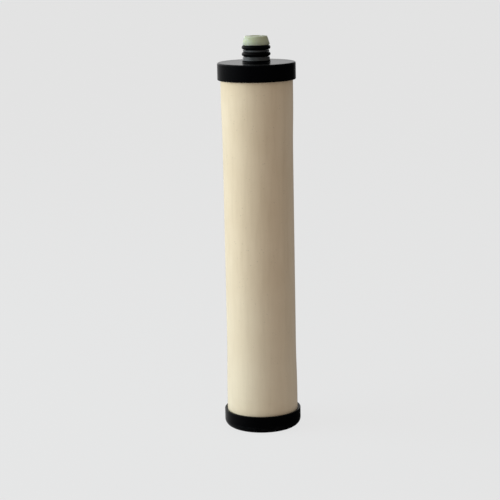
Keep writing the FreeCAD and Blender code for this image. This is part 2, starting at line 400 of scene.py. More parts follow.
def new_group(name: str, inputs: dict[str, object], outputs: dict[str, str]) -> tuple[Nodes, Node, Node]:
    """Starts a node group.

    Args:
        name: Its name.
        inputs: Socket name to its default, a number or a vector.
        outputs: Socket name to its socket type.

    Returns:
        Its nodes, its input node and its output node.
    """
    tree = bpy.data.node_groups.new(name, "ShaderNodeTree")
    for key, value in inputs.items():
        kind = "NodeSocketFloat" if isinstance(value, float) else "NodeSocketVector"
        socket = tree.interface.new_socket(key, in_out="INPUT", socket_type=kind)
        socket.default_value = value
    for key, kind in outputs.items():
        tree.interface.new_socket(key, in_out="OUTPUT", socket_type=kind)
    nodes = Nodes(tree)
    return nodes, nodes.add("NodeGroupInput"), nodes.add("NodeGroupOutput")


def build_grain_group() -> Tree:
    """Fine surface grain: two sizes of noise added as a height, and a slow mottle as a mask.

    Returns:
        The group.
    """
    nodes, entry, leave = new_group(
        "surface_grain",
        {"Place": (0.0, 0.0, 0.0), "Fine": 4000.0, "Coarse": 700.0, "Mottle": 60.0, "Coarse Share": 0.5},
        {"Height": "NodeSocketFloat", "Mottle": "NodeSocketFloat"},
    )
    links = nodes.tree.links
    sizes = (entry.outputs[key] for key in ("Fine", "Coarse", "Mottle"))
    fine, coarse, mottle = [nodes.noise(entry.outputs["Place"], size) for size in sizes]
    height = nodes.maths("ADD", fine, nodes.times(coarse, entry.outputs["Coarse Share"]))
    links.new(height, leave.inputs["Height"])
    links.new(nodes.ramp(mottle, 0.3, 0.7), leave.inputs["Mottle"])
    return nodes.tree


def build_wear_group() -> Tree:
    """Handling wear: rounded edges broken up by noise, plus sparse fine scratches along two directions.

    Returns:
        The group.
    """
    nodes, entry, leave = new_group(
        "handling_wear",
        {"Place": (0.0, 0.0, 0.0), "Edge": 0.0, "Edge Amount": 0.5, "Scratches": 0.3},
        {"Mask": "NodeSocketFloat"},
    )
    place = entry.outputs["Place"]
    broken = nodes.ramp(nodes.noise(place, 420.0, 5.0, 0.7), 0.42, 0.66)
    edge = nodes.times(nodes.times(entry.outputs["Edge"], broken), entry.outputs["Edge Amount"])
    scratches = []
    for turn, scale in ((0.6, 260.0), (-0.9, 190.0)):
        inputs = {"Vector": place, "Rotation": (0.3, turn, 1.1 * turn), "Scale": (1.0, 0.06, 1.0)}
        along = nodes.add("ShaderNodeMapping", inputs).outputs[0]
        scratches.append(nodes.ramp(nodes.noise(along, scale * 6, 2.0), 0.69, 0.74))
    scratched = nodes.times(nodes.maths("MAXIMUM", *scratches), entry.outputs["Scratches"])
    nodes.tree.links.new(nodes.maths("MAXIMUM", edge, scratched, clamp=True), leave.inputs["Mask"])
    return nodes.tree


def build_dust_group() -> Tree:
    """Settled dust: more on faces that look up and in creases, broken up by noise.

    Returns:
        The group.
    """
    nodes, entry, leave = new_group(
        "settled_dust",
        {"Place": (0.0, 0.0, 0.0), "Normal": (0.0, 0.0, 1.0), "Crease": 0.0, "Amount": 0.3},
        {"Mask": "NodeSocketFloat"},
    )
    up = nodes.add("ShaderNodeSeparateXYZ", {0: entry.outputs["Normal"]}).outputs["Z"]
    level = nodes.ramp(up, 0.3, 1.0, 0.0, 0.6)
    bed = nodes.maths("ADD", level, entry.outputs["Crease"], clamp=True)
    specks = nodes.ramp(nodes.noise(entry.outputs["Place"], 900.0, 6.0, 0.75), 0.45, 0.7)
    mask = nodes.maths("MULTIPLY", nodes.times(bed, specks), entry.outputs["Amount"], clamp=True)
    nodes.tree.links.new(mask, leave.inputs["Mask"])
    return nodes.tree


@dataclass(frozen=True)
class SharedEffects:
    """Node groups that several finishes use."""

    grain: Tree = field(default_factory=build_grain_group)
    wear: Tree = field(default_factory=build_wear_group)
    dust: Tree = field(default_factory=build_dust_group)


@dataclass(frozen=True)
class MaterialStart:
    """Parts that each finish starts from."""

    material: Material
    nodes: Nodes
    shader: Node
    place: Socket
    normal: Socket
    edge: Socket
    crease: Socket

    def link(self, socket: Socket, name: str) -> None:
        """Joins a socket to the shader's named input."""
        self.nodes.tree.links.new(socket, self.shader.inputs[name])

    def bump(self, height: Socket, depth: float) -> None:
        """Turns a height times a depth in metres into the shader's normal."""
        inputs = {"Height": height, "Distance": depth, "Strength": 1.0}
        self.link(self.nodes.add("ShaderNodeBump", inputs).outputs[0], "Normal")

    def grain(
        self, tree: Tree, scales: tuple[float, float, float], place: Socket | None = None, share: float = 0.5
    ) -> Node:
        """Places the grain group, with the scales of its fine noise, its coarse noise and its mottle."""
        inputs = {"Place": self.place if place is None else place, "Coarse Share": share}
        return self.nodes.group(tree, inputs | dict(zip(("Fine", "Coarse", "Mottle"), scales)))

    def dust(self, tree: Tree, amount: float) -> Socket:
        """Places the dust group and returns its mask."""
        inputs = {"Place": self.place, "Normal": self.normal, "Crease": self.crease, "Amount": amount}
        return self.nodes.group(tree, inputs).outputs["Mask"]

    def vary_roughness(self, mottle: Socket, low: float, high: float) -> None:
        """Lets the roughness follow the mottle between two values."""
        self.link(self.nodes.ramp(mottle, 0.0, 1.0, low, high), "Roughness")


def start_material(name: str, constants: dict[str, object]) -> MaterialStart:
    """Material with a shader that has its constant values set, and the coordinates that patterns read.

    Args:
        name: The material's name.
        constants: Value of each of the shader's named inputs that is set.

    Returns:
        The material with its first nodes.
    """
    material = bpy.data.materials.new(name)
    material.use_nodes = True
    tree = material.node_tree
    tree.nodes.clear()
    nodes = Nodes(tree)
    shader = nodes.add("ShaderNodeBsdfPrincipled", constants)
    leave = nodes.add("ShaderNodeOutputMaterial")
    tree.links.new(shader.outputs[0], leave.inputs[0])
    place = nodes.add("ShaderNodeTexCoord").outputs["Object"]
    normal = nodes.add("ShaderNodeNewGeometry").outputs["Normal"]
    edge, crease = nodes.attribute("edge"), nodes.attribute("crease")
    return MaterialStart(material, nodes, shader, place, normal, edge, crease)


# ---------------------------------------------------------------- finishes
@dataclass(frozen=True)
class MouldedPlastic:
    """Injection-moulded plastic with a fine eroded texture, worn edges and a little dust."""

    name: str
    base: Colour
    worn: Colour
    roughness: float
    specular: float
    texture_depth: float = 0.012 * MM
    edge_wear: float = 0.5
    scratches: float = 0.3
    dust: float = 0.25
    dust_colour: Colour = (0.30, 0.28, 0.25)
    glow: float = 0.0
    greased_with_painted_light: bool = False
    # Painted light tint mixed in where the grease coat goes: lighter on the black spigot as a painted
    # reflection, darker on the nose as painted shade at its base.
    painted_light_tint: Colour = (0.060, 0.060, 0.060)
    grain_scales: tuple[float, float, float] = (5200.0, 1300.0, 55.0)

    def material(self, effects: SharedEffects) -> Material:
        """Builds the material.

        Args:
            effects: The node groups that finishes share.

        Returns:
            The material.
        """
        constants = {"Specular IOR Level": self.specular}
        if self.glow:
            constants |= {"Subsurface Weight": self.glow, "Subsurface Scale": 2.5 * MM}
            constants |= {"Subsurface Radius": (1.0, 1.0, 0.75)}
        if self.greased_with_painted_light:
            constants |= {"Coat Roughness": 0.3, "Coat IOR": 1.45}
        start = start_material(self.name, constants)
        nodes = start.nodes
        grain = start.grain(effects.grain, self.grain_scales)
        inputs = {"Place": start.place, "Edge": start.edge, "Edge Amount": self.edge_wear}
        wear = nodes.group(effects.wear, inputs | {"Scratches": self.scratches}).outputs["Mask"]
        dust = start.dust(effects.dust, self.dust)
        darker = tuple(0.8 * part for part in self.base)
        colour = nodes.mix(grain.outputs["Mottle"], darker, self.base)
        colour = nodes.mix(wear, colour, self.worn)
        colour = nodes.mix(dust, colour, self.dust_colour)
        # Grease coat in patches, with a painted light tint mixed into the colour under it: a painted
        # reflection on the spigot, painted shade at the base of the nose.
        if self.greased_with_painted_light:
            smears = nodes.ramp(nodes.noise(start.place, 330.0, 4.0), 0.3, 0.6, 0.6, 1.0)
            grease_and_painted_light = nodes.times(nodes.attribute("grease"), smears)
            start.link(grease_and_painted_light, "Coat Weight")
            colour = nodes.mix(grease_and_painted_light, colour, self.painted_light_tint)
        start.link(colour, "Base Color")
        varied = nodes.ramp(grain.outputs["Mottle"], 0.0, 1.0, self.roughness * 0.88, self.roughness * 1.12)
        rougher = nodes.maths("ADD", varied, nodes.times(dust, 0.35))
        polished = nodes.maths("SUBTRACT", rougher, nodes.times(wear, 0.1), clamp=True)
        start.link(polished, "Roughness")
        start.bump(grain.outputs["Height"], self.texture_depth)
        return start.material


@dataclass(frozen=True)
class PorousCeramic:
    """Unglazed diatomite ceramic: fine open grain, soft mottling, sparse mineral specks and scrub marks, with
    painted light from the floor towards the bottom.
    """

    name: str
    light: Colour
    dark: Colour
    stain: Colour
    # Lighter tint painted towards the bottom of the tube, standing in for light from the floor.
    painted_floor_light: Colour = (0.76, 0.66, 0.50)
    speck: Colour = (0.27, 0.19, 0.11)
    roughness: float = 0.82
    grain_depth: float = 0.05 * MM
    grain_scales: tuple[float, float, float] = (2600.0, 650.0, 34.0)

    def material(self, effects: SharedEffects) -> Material:
        """Builds the material.

        Args:
            effects: The node groups that finishes share.

        Returns:
            The material.
        """
        constants = {"Specular IOR Level": 0.25, "Sheen Weight": 0.25, "Sheen Roughness": 0.6}
        start = start_material(self.name, constants)
        nodes = start.nodes
        grain = start.grain(effects.grain, self.grain_scales, share=0.6)
        mottle = grain.outputs["Mottle"]
        colour = nodes.mix(nodes.ramp(mottle, 0.0, 1.0, 0.1, 0.7), self.light, self.dark)
        upright = nodes.stretched(start.place, (1.0, 1.0, 0.09))
        streak = nodes.ramp(nodes.noise(upright, 420.0, 4.0, 0.6), 0.45, 0.75)
        colour = nodes.mix(nodes.times(streak, 0.22), colour, self.stain)
        pores = nodes.add("ShaderNodeTexVoronoi", {"Vector": start.place, "Scale": 520.0}).outputs["Distance"]
        thinned = nodes.ramp(nodes.noise(start.place, 130.0, 2.0), 0.52, 0.62)
        speck = nodes.times(nodes.ramp(pores, 0.16, 0.1), thinned)
        colour = nodes.mix(nodes.times(speck, 0.55), colour, self.speck)
        # Painted floor light: lower down, the colour is mixed towards a lighter tint.
        height = nodes.add("ShaderNodeSeparateXYZ", {0: start.place}).outputs["Z"]
        uneven = nodes.maths("ADD", height, nodes.times(mottle, 0.02))
        colour = nodes.mix(nodes.ramp(uneven, 0.13, 0.01, 0.0, 0.4), colour, self.painted_floor_light)
        patches = nodes.ramp(nodes.noise(start.place, 160.0, 4.0), 0.3, 0.7, 0.4, 1.0)
        damp = nodes.times(nodes.attribute("tide"), patches)
        colour = nodes.mix(nodes.times(damp, 0.4), colour, self.stain)
        start.link(colour, "Base Color")
        start.vary_roughness(mottle, self.roughness - 0.06, self.roughness + 0.06)
        scrub = nodes.stretched(start.place, (0.12, 0.12, 1.0))
        lines = nodes.times(nodes.noise(scrub, 1500.0, 3.0), 0.45)
        height = nodes.maths("ADD", grain.outputs["Height"], lines)
        height = nodes.maths("SUBTRACT", height, nodes.times(speck, 1.2))
        start.bump(height, self.grain_depth)
        return start.material


@dataclass(frozen=True)
class Rubber:
    """Moulded rubber with a faint bloom in its creases and a little grease or powder."""

    name: str
    base: Colour
    bloom: Colour
    roughness: float
    specular: float = 0.3
    bloom_amount: float = 0.25
    grain_scales: tuple[float, float, float] = (6000.0, 1800.0, 240.0)
    grain_depth: float = 0.008 * MM

    def material(self, effects: SharedEffects) -> Material:
        """Builds the material.

        Args:
            effects: The node groups that finishes share.

        Returns:
            The material.
        """
        start = start_material(self.name, {"Specular IOR Level": self.specular})
        nodes = start.nodes
        grain = start.grain(effects.grain, self.grain_scales)
        mottle = grain.outputs["Mottle"]
        lighter = tuple(1.5 * part for part in self.base)
        colour = nodes.mix(nodes.times(mottle, 0.5), self.base, lighter)
        bloomed = nodes.mix(start.dust(effects.dust, self.bloom_amount), colour, self.bloom)
        start.link(bloomed, "Base Color")
        start.vary_roughness(mottle, self.roughness * 0.75, self.roughness * 1.25)
        start.bump(grain.outputs["Height"], self.grain_depth)
        return start.material


@dataclass(frozen=True)
class Granular:
    """Pressed grains or felted fibre: deep fine bump with light and dark grains."""

    name: str
    light: Colour
    dark: Colour
    grain_scale: float
    depth: float
    roughness: float
    stretch: tuple[float, float, float] = (1.0, 1.0, 1.0)
    mottle_scale: float = 90.0

    def material(self, effects: SharedEffects) -> Material:
        """Builds the material.

        Args:
            effects: The node groups that finishes share.

        Returns:
            The material.
        """
        start = start_material(self.name, {"Specular IOR Level": 0.3, "Roughness": self.roughness})
        nodes = start.nodes
        place = nodes.stretched(start.place, self.stretch)
        grain = start.grain(effects.grain, (self.grain_scale, self.grain_scale / 3, self.mottle_scale), place)
        share = nodes.ramp(grain.outputs["Height"], 0.45, 1.0)
        colour = nodes.mix(share, self.dark, self.light)
        colour = nodes.mix(nodes.times(grain.outputs["Mottle"], 0.3), colour, self.dark)
        start.link(colour, "Base Color")
        start.bump(grain.outputs["Height"], self.depth)
        return start.material


@dataclass(frozen=True)
class Steel:
    """Drawn or rolled stainless steel with fine lines along one direction."""

    name: str
    base: Colour
    roughness: float
    stretch: tuple[float, float, float]
    grain_scales: tuple[float, float, float] = (7000.0, 2400.0, 300.0)
    line_depth: float = 0.006 * MM

    def material(self, effects: SharedEffects) -> Material:
        """Builds the material.

        Args:
            effects: The node groups that finishes share.

        Returns:
            The material.
        """
        start = start_material(self.name, {"Metallic": 1.0})
        nodes = start.nodes
        place = nodes.stretched(start.place, self.stretch)
        grain = start.grain(effects.grain, self.grain_scales, place)
        tinted = tuple(0.82 * part for part in self.base)
        start.link(nodes.mix(grain.outputs["Mottle"], tinted, self.base), "Base Color")
        start.vary_roughness(grain.outputs["Mottle"], self.roughness * 0.7, self.roughness * 1.4)
        start.bump(grain.outputs["Height"], self.line_depth)
        return start.material


@dataclass(frozen=True)
class Finishes:
    """Every finish of the cartridge, by the slot that it fills."""

    effects: SharedEffects = field(default_factory=SharedEffects)

    def build(self) -> dict[Slot, Material]:
        """Builds each finish's material.

        Returns:
            Material of each slot.
        """
        recipes = {
            Slot.BLACK_PLASTIC: MouldedPlastic(
                "black_moulded_plastic", (0.0014, 0.0014, 0.0018), (0.014, 0.014, 0.016), 0.17, 0.07,
                texture_depth=0.004 * MM, edge_wear=0.3, scratches=0.2,
                # The spigot's grease coat carries a lighter tint that is a painted reflection.
                dust=0.02, dust_colour=(0.10, 0.10, 0.09), greased_with_painted_light=True,
            ),
            Slot.NATURAL_PLASTIC: MouldedPlastic(
                "natural_translucent_plastic", (0.54, 0.55, 0.385), (0.62, 0.63, 0.50), 0.32, 0.4,
                edge_wear=0.35, scratches=0.15, dust=0.04, glow=0.9,
                # Its coat tint is painted shade, darker towards the base of the nose.
                greased_with_painted_light=True, painted_light_tint=(0.20, 0.20, 0.18),
            ),
            Slot.WHITE_PLASTIC: MouldedPlastic(
                "white_extruded_plastic", (0.72, 0.72, 0.68), (0.6, 0.6, 0.57), 0.4, 0.4, dust=0.0
            ),
            Slot.ACETAL: MouldedPlastic(
                "white_acetal", (0.74, 0.73, 0.69), (0.62, 0.61, 0.58), 0.28, 0.5, dust=0.0
            ),
            Slot.POTTING: MouldedPlastic(
                "cast_black_resin", (0.006, 0.006, 0.007), (0.02, 0.02, 0.02), 0.22, 0.35,
                texture_depth=0.03 * MM, edge_wear=0.0, scratches=0.0, dust=0.12,
            ),
            Slot.CERAMIC: PorousCeramic(
                "porous_filter_ceramic", (0.74, 0.58, 0.405), (0.67, 0.51, 0.34), (0.52, 0.38, 0.23)
            ),
            Slot.O_RING: Rubber(
                "black_o_ring_rubber", (0.0016, 0.0016, 0.0018), (0.02, 0.02, 0.02), 0.34, 0.09, 0.06
            ),
            Slot.GREY_RUBBER: Rubber("grey_gasket_rubber", (0.13, 0.13, 0.13), (0.3, 0.3, 0.3), 0.65),
            Slot.SILICONE: Rubber("red_seal_rubber", (0.42, 0.07, 0.04), (0.55, 0.3, 0.26), 0.5),
            Slot.CARBON: Granular(
                "pressed_carbon", (0.06, 0.06, 0.06), (0.008, 0.008, 0.008), 2200.0, 0.25 * MM, 0.75
            ),
            Slot.FLEECE: Granular(
                "white_fleece", (0.82, 0.81, 0.77), (0.55, 0.54, 0.5), 2600.0, 0.2 * MM, 0.95,
                stretch=(1.0, 1.0, 0.25),
            ),
            Slot.STEEL_SHEET: Steel("rolled_steel_sheet", (0.62, 0.61, 0.59), 0.3, (0.06, 1.0, 1.0)),
            Slot.SPRING: Steel("drawn_steel_wire", (0.64, 0.63, 0.61), 0.22, (0.2, 0.2, 1.0)),
        }
        return {slot: recipe.material(self.effects) for slot, recipe in recipes.items()}


@dataclass
class Workshop:
    """Places finished pieces on their bodies, in their slots, with their materials."""

    materials: dict[Slot, Material]

    def dress(self, piece: Piece, slot: Slot) -> None:
        """Gives a piece its slot's material."""
        piece.data.materials.clear()
        piece.data.materials.append(self.materials[slot])

    def keep(self, node: str, slot: Slot) -> None:
        """Shows a CAD node as it is, with a better material."""
        self.dress(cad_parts[node], slot)
        LOG.info("%s keeps its CAD shape, in %s", node, slot.value)

    def fit(self, piece: Piece, node: str, slot: Slot, body: Body = Body.CARTRIDGE) -> None:
        """Puts a new piece in place of a CAD node.

        Args:
            piece: The new piece.
            node: The CAD node that it replaces.
            slot: Its material slot.
            body: The body that it rides on.
        """
        self.dress(piece, slot)
        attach(piece, body.value)
        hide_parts(node)
        LOG.info("%s replaces %s, %d faces, in %s", piece.name, node, len(piece.data.polygons), slot.value)


@dataclass
class Extent:
    """Outer radius, lowest and highest point of a CAD node."""

    radius: float
    low: float
    high: float


def extent(node: str) -> Extent:
    """Reads a node's extent from the frame."""
    low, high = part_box(node)
    return Extent((high[0] - low[0]) / 2, low[2], high[2])


def waves(angle: Array, height: Array, seed: int, count: int = 5) -> Array:
    """Smooth irregularity from -1 to 1.

    It is the sum of sin(n a + p + d z) / n over the whole numbers n, divided by the sum of 1 / n. The phase p
    and the drift d are drawn at random for each n.

    Args:
        angle: Angle a of each grid point round the axis.
        height: Height z of each grid point.
        seed: Seed of the random draws.
        count: Largest n.

    Returns:
        The irregularity at each grid point.
    """
    random = np.random.default_rng(seed)
    total = np.zeros_like(angle)
    for turns in range(1, count + 1):
        phase, drift = random.uniform(0, 2 * math.pi), random.uniform(-60.0, 60.0)
        total += np.sin(turns * angle + phase + drift * height) / turns
    return total / sum(1 / turns for turns in range(1, count + 1))


# ---------------------------------------------------------------- ceramic and its caps
@dataclass
class EndCap:
    """Sizes that both caps share."""

    wall: float = 1.5 * MM
    end: float = 3.0 * MM
    lip_rounding: float = 0.4 * MM
    cup_rounding: float = 1.0 * MM
    locating_radius: float = 14.35 * MM
    locating_wall: float = 1.5 * MM
    socket_radius: float = 8.05 * MM
    columns: int = 200


@dataclass
class BottomCap(EndCap):
    """Cup with a rounded foot. Its recess shows the gate and three ejector pin marks."""

    foot_rounding: float = 4.5 * MM
    foot_width: float = 4.5 * MM
    recess: float = 0.8 * MM
    lip_height: float = 4.0 * MM
    gate_radius: float = 1.3 * MM
    gate_height: float = 0.25 * MM
    pin_circle: float = 9.5 * MM
    pin_radius: float = 1.75 * MM
    pin_depth: float = 0.1 * MM
    pins: int = 3
    first_pin: float = 0.5
    gate_softness: float = 0.1 * MM
    pin_softness: float = 0.12 * MM

    def mould_marks(self, radius: Array, height: Array, angle: Array) -> Shift:
        """Height change of the recess: a soft pip at the gate, less a soft disc at each ejector pin.

        Args:
            radius: Distance of each grid point from the axis.
            height: Height of each grid point.
            angle: Angle of each grid point round the axis.

        Returns:
            What to add to the radius and to the height of each point.
        """
        x, y = radius * np.cos(angle), radius * np.sin(angle)
        flat = (height < 1.2 * self.recess) & (radius < self.pin_circle + 2 * self.pin_radius)
        pip = 1 / (1 + np.exp((radius - self.gate_radius) / self.gate_softness))
        change = -self.gate_height * pip
        for pin in range(self.pins):
            turn = 2 * math.pi * pin / self.pins + self.first_pin
            away = np.hypot(x - self.pin_circle * math.cos(turn), y - self.pin_circle * math.sin(turn))
            change += self.pin_depth / (1 + np.exp((away - self.pin_radius) / self.pin_softness))
        return np.zeros_like(radius), np.where(flat, change, 0.0)

    def build(self, shop: Workshop) -> None:
        """Builds the cap from its half section, walked up the outside from the pole under its floor.

        Args:
            shop: Where the piece is fitted.
        """
        cap = extent("bottom_cap")
        inner = cap.radius - self.wall
        foot_outer = cap.radius - self.foot_rounding
        foot_inner = foot_outer - self.foot_width
        ledge = self.end + self.lip_height
        lip_inner = self.locating_radius - self.locating_wall
        profile = rounded_profile(
            (
                (0.0, self.recess),
                (foot_inner - self.recess, self.recess, 0.5 * MM),
                (foot_inner, 0.0, 0.4 * MM),
                (cap.radius, 0.0, self.foot_rounding),
                (cap.radius, cap.high, self.lip_rounding),
                (inner, cap.high, self.lip_rounding),
                (inner, self.end, self.cup_rounding),
                (self.locating_radius, self.end),
                (self.locating_radius, ledge, 0.2 * MM),
                (lip_inner, ledge, 0.2 * MM),
                (lip_inner, self.end),
                (self.socket_radius, self.end),
                (self.socket_radius, ledge, 0.2 * MM),
                (0.0, ledge),
            ),
            closed=False,
            step=0.45 * MM,
            arc_steps=12,
        )
        piece = turned_piece("moulded_bottom_cap", profile, self.columns, self.mould_marks)
        set_attribute(piece, "grease", np.zeros(len(piece.data.vertices)))
        shop.fit(piece, "bottom_cap", Slot.BLACK_PLASTIC)


@dataclass
class TopCap(EndCap):
    """Cap with a flat shoulder, the spigot with its two grooves, and the valve's seat and chamber."""

    rim: float = 11.0 * MM
    edge_rounding: float = 0.9 * MM
    lip_height: float = 8.0 * MM
    tube_radius: float = 6.05 * MM
    seat_above_ceiling: float = 1.8 * MM
    seat_hole: float = 4.8 * MM
    seat_radius: float = 3.2 * MM
    boss_radius: float = 9.0 * MM
    boss_height: float = 1.2 * MM
    land_radius: float = 8.4 * MM
    groove_radius: float = 6.5 * MM
    groove_width: float = 3.2 * MM
    bore_radius: float = 5.25 * MM

    def build(self, shop: Workshop) -> None:
        """Builds the cap from its half section, walked up the outside from its lip.

        Args:
            shop: Where the piece is fitted.
        """
        cap = extent("top_cap")
        lower = extent("lower_o_ring")
        upper = extent("upper_o_ring")
        shoulder = cap.low + self.rim
        ceiling = shoulder - self.end
        seat = ceiling + self.seat_above_ceiling
        ledge = ceiling - self.lip_height
        inner = cap.radius - self.wall
        lip_inner = self.locating_radius - self.locating_wall
        lower_middle = (lower.low + lower.high) / 2
        lower_groove = (lower_middle - self.groove_width / 2, lower_middle + self.groove_width / 2)
        upper_groove = (upper.low + upper.high) / 2 - self.groove_width / 2
        root, lip = 0.3 * MM, 0.18 * MM
        profile = rounded_profile(
            (
                (self.seat_radius, seat - self.seat_hole),
                (self.tube_radius, seat - self.seat_hole),
                (self.tube_radius, ledge),
                (self.socket_radius, ledge, lip),
                (self.socket_radius, ceiling),
                (lip_inner, ceiling),
                (lip_inner, ledge, lip),
                (self.locating_radius, ledge, lip),
                (self.locating_radius, ceiling),
                (inner, ceiling, self.cup_rounding),
                (inner, cap.low, self.lip_rounding),
                (cap.radius, cap.low, self.lip_rounding),
                (cap.radius, shoulder, self.edge_rounding),
                (self.boss_radius, shoulder, 0.5 * MM),
                (self.boss_radius, shoulder + self.boss_height, lip),
                (self.land_radius, lower_groove[0], lip),
                (self.groove_radius, lower_groove[0], root),
                (self.groove_radius, lower_groove[1], root),
                (self.land_radius, lower_groove[1], lip),
                (self.land_radius, upper_groove, lip),
                (self.groove_radius, upper_groove, root),
                (self.groove_radius, cap.high, 0.1 * MM),
                (self.bore_radius, cap.high, 0.1 * MM),
                (self.bore_radius, seat),
                (self.seat_radius, seat),
            ),
            arc_steps=9,
        )
        piece = turned_piece("moulded_top_cap", profile, self.columns)
        # The lands and the neck above the boss get a grease coat and, under it, a lighter tint that is a
        # painted reflection.
        above_boss = profile.height > shoulder + self.boss_height + lip / 2
        greased_with_painted_light = above_boss & (profile.radius > self.bore_radius + lip)
        set_attribute(piece, "grease", np.repeat(greased_with_painted_light.astype(float), self.columns))
        shop.fit(piece, "top_cap", Slot.BLACK_PLASTIC)


@dataclass
class CeramicStage:
    """Ceramic tube and the adhesive that pots it into both caps."""

    straight_end: float = 16.0 * MM
    flare: float = 38.0 * MM
    arc_share: float = 0.98
    waist: float = 0.5 * MM
    wall: float = 8.7 * MM
    end_rounding: float = 0.5 * MM
    scrub_depth: float = 0.06 * MM
    scrub_seed: int = 7
    tide_reach: float = 9.0 * MM
    bead_sag: float = 0.16 * MM
    bead_climb: float = 0.3 * MM
    bead_waves: int = 9
    bead_face: float = 0.02 * MM
    inward: float = 8.75 * MM
    columns: int = 200
    bead_columns: int = 180

    def scrubbed(self, radius: Array, height: Array, angle: Array) -> Shift:
        """Radius change of the outside: slow waves, deepest at mid height, and none inside the caps.

        Args:
            radius: Distance of each grid point from the axis.
            height: Height of each grid point.
            angle: Angle of each grid point round the axis.

        Returns:
            What to add to the radius and to the height of each point.
        """
        tube = extent("ceramic_tube")
        worked = tube.high - tube.low - self.straight_end
        share = np.clip((height - tube.low - self.straight_end / 2) / worked, 0.0, 1.0)
        outside = (radius > tube.radius - self.wall / 2) & (share > 0.0) & (share < 1.0)
        depth = self.scrub_depth * np.sin(math.pi * share) * (waves(angle, height, self.scrub_seed) - 1.0) / 2
        return np.where(outside, depth, 0.0), np.zeros_like(radius)

    def build_tube(self, shop: Workshop) -> None:
        """Builds the tube. Each flare is two equal arcs that meet at its middle, upright at both ends.

        Args:
            shop: Where the piece is fitted.
        """
        tube = extent("ceramic_tube")
        quarter = self.flare / 4
        turn = math.atan2(self.waist, 2 * quarter)
        sweep = self.arc_share * quarter / math.tan(turn / 2)
        low, high = tube.low + self.straight_end, tube.high - self.straight_end
        bore = tube.radius - self.wall
        profile = rounded_profile(
            (
                (bore, tube.low, 0.2 * MM),
                (tube.radius, tube.low, self.end_rounding),
                (tube.radius, low + quarter, sweep),
                (tube.radius - self.waist, low + 3 * quarter, sweep),
                (tube.radius - self.waist, high - 3 * quarter, sweep),
                (tube.radius, high - quarter, sweep),
                (tube.radius, tube.high, self.end_rounding),
                (bore, tube.high, 0.2 * MM),
            ),
            step=2.5 * MM,
            arc_steps=10,
        )
        piece = turned_piece("scrubbed_ceramic_tube", profile, self.columns, self.scrubbed)
        height = np.repeat(profile.height, self.columns)
        caps = (extent("bottom_cap").high, extent("top_cap").low)
        away = np.minimum(np.abs(height - caps[0]), np.abs(height - caps[1]))
        set_attribute(piece, "tide", np.exp(-away / self.tide_reach))
        shop.fit(piece, "ceramic_tube", Slot.CERAMIC)

    def build_bead(self, shop: Workshop, node: str, free_is_up: bool, seed: int) -> None:
        """Builds one potting ring. Its free face sags between the walls and climbs unevenly up the ceramic.

        Args:
            shop: Where the piece is fitted.
            node: The CAD node that it replaces.
            free_is_up: True if the free face looks up.
            seed: Seed of its unevenness.
        """
        ring = extent(node)
        tube = extent("ceramic_tube")
        bed = tube.low if free_is_up else tube.high
        free, back = (ring.high, ring.low) if free_is_up else (ring.low, ring.high)
        across = ring.radius - tube.radius
        locating = tube.radius - self.inward
        corners = [
            (locating, back),
            (ring.radius, back, 1.0 * MM),
            (ring.radius, free),
            (tube.radius, free),
            (tube.radius, bed, self.end_rounding),
            (locating, bed),
        ]
        if not free_is_up:
            corners.reverse()
        profile = rounded_profile(corners, step=0.06 * MM if across < 1.0 * MM else 0.5 * MM, arc_steps=6)
        up = 1.0 if free_is_up else -1.0

        def meniscus(radius: Array, height: Array, angle: Array) -> Shift:
            """Height change of the free face: a parabola that sags, plus waves next to the ceramic.

            Args:
                radius: Distance of each grid point from the axis.
                height: Height of each grid point.
                angle: Angle of each grid point round the axis.

            Returns:
                What to add to the radius and to the height of each point.
            """
            share = np.clip((radius - tube.radius) / across, 0.0, 1.0)
            sag = -4 * self.bead_sag * share * (1 - share)
            uneven = 0.5 + 0.5 * waves(angle, 0 * height, seed, self.bead_waves)
            climb = self.bead_climb * uneven * (1 - share) ** 3
            face = np.abs(height - free) < self.bead_face
            return np.zeros_like(radius), np.where(face, up * (sag + climb), 0.0)

        shop.fit(turned_piece(node + "_bead", profile, self.bead_columns, meniscus), node, Slot.POTTING)

    def build(self, shop: Workshop) -> None:
        """Builds the tube and both potting rings.

        Args:
            shop: Where the pieces are fitted.
        """
        self.build_tube(shop)
        self.build_bead(shop, "bottom_potting_ring", True, 3)
        self.build_bead(shop, "top_potting_ring", False, 4)


# ---------------------------------------------------------------- outlet
@dataclass
class OutletSeals:
    """The spigot's two O-rings, each with the thin flash that its mould leaves at the parting line."""

    section: float = 2.65 * MM
    flash: float = 0.035 * MM
    flash_width: float = 0.09
    points: int = 72
    columns: int = 160

    def build(self, shop: Workshop) -> None:
        """Builds both rings, whose section has radius a + f exp(-(t / w)^2) at angle t from its equator.

        Args:
            shop: Where the pieces are fitted.
        """
        for node in ("lower_o_ring", "upper_o_ring"):
            ring = extent(node)
            turn = np.linspace(-math.pi, math.pi, self.points, endpoint=False)
            ridge = np.exp(-((turn / self.flash_width) ** 2))
            half = self.section / 2 - self.flash + self.flash * ridge
            middle = (ring.low + ring.high) / 2
            centre = ring.radius - self.section / 2
            radius, height = centre + half * np.cos(turn), middle + half * np.sin(turn)
            profile = Profile(radius, height, ridge, np.zeros(self.points))
            shop.fit(turned_piece("moulded_" + node, profile, self.columns), node, Slot.O_RING)


